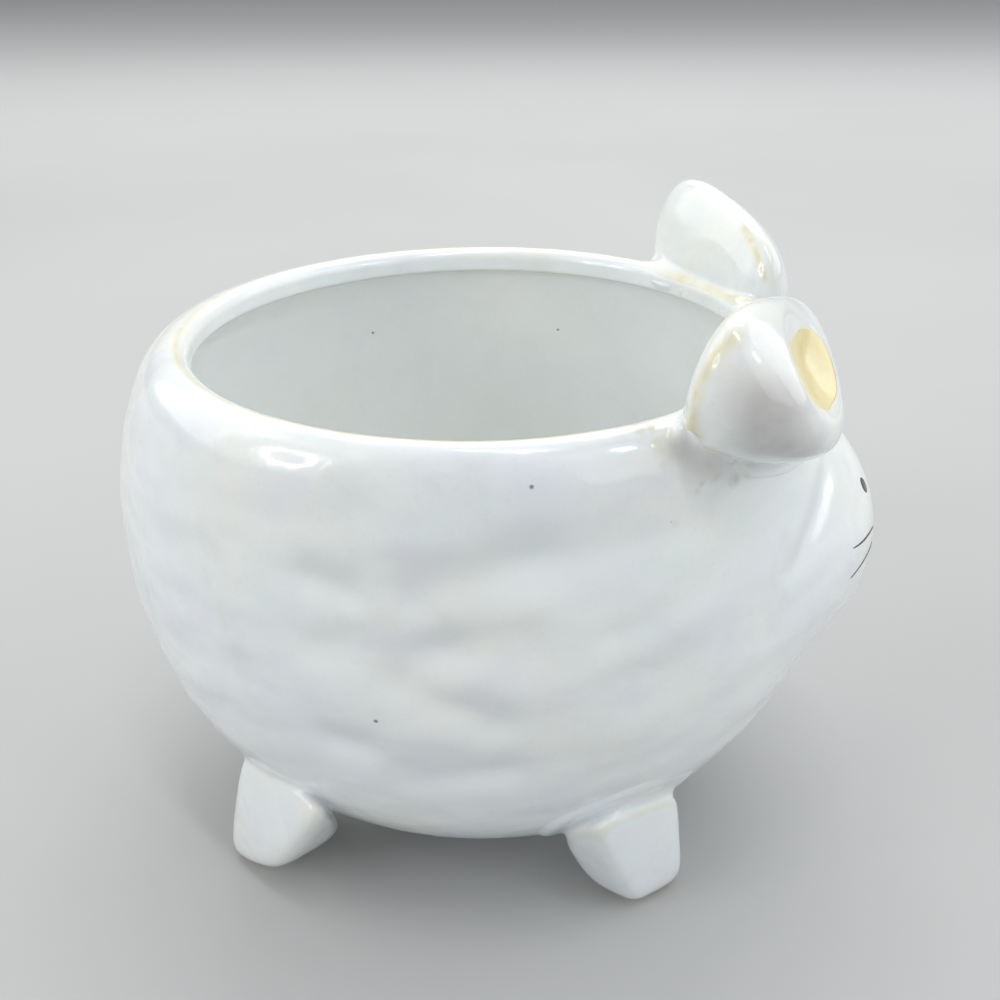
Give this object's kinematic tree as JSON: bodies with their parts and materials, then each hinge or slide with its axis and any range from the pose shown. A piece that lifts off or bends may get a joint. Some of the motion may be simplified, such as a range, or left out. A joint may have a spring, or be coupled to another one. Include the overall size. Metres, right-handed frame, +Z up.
{
  "type": "animal shaped planter",
  "caption": "Plump cat-shaped glazed ceramic planter: open round bowl with a rolled lip, puffy ears beside the rim, short splayed feet, painted face and a drain hole.",
  "frame": {"origin": "on the ground plane, under the middle of the overall length and width", "axes": "+X forward, towards the face; +Y the animal's left; +Z up, out of the bowl's opening"},
  "size_m": [0.1332, 0.1104, 0.1101],
  "materials": {
    "glaze": "glossy white glaze, cream where it thins over edges",
    "yellow_enamel": "pale yellow fired-on enamel",
    "dark_enamel": "black fired-on enamel"
  },
  "bodies": {
    "root": {"pot_body": "glaze", "left_ear": "glaze", "right_ear": "glaze", "front_left_foot": "glaze", "front_right_foot": "glaze", "rear_left_foot": "glaze", "rear_right_foot": "glaze", "left_inner_ear": "yellow_enamel", "right_inner_ear": "yellow_enamel", "left_eye": "dark_enamel", "right_eye": "dark_enamel", "nose": "dark_enamel", "mouth": "dark_enamel", "left_whiskers": "dark_enamel", "right_whiskers": "dark_enamel"}
  },
  "joints": []
}
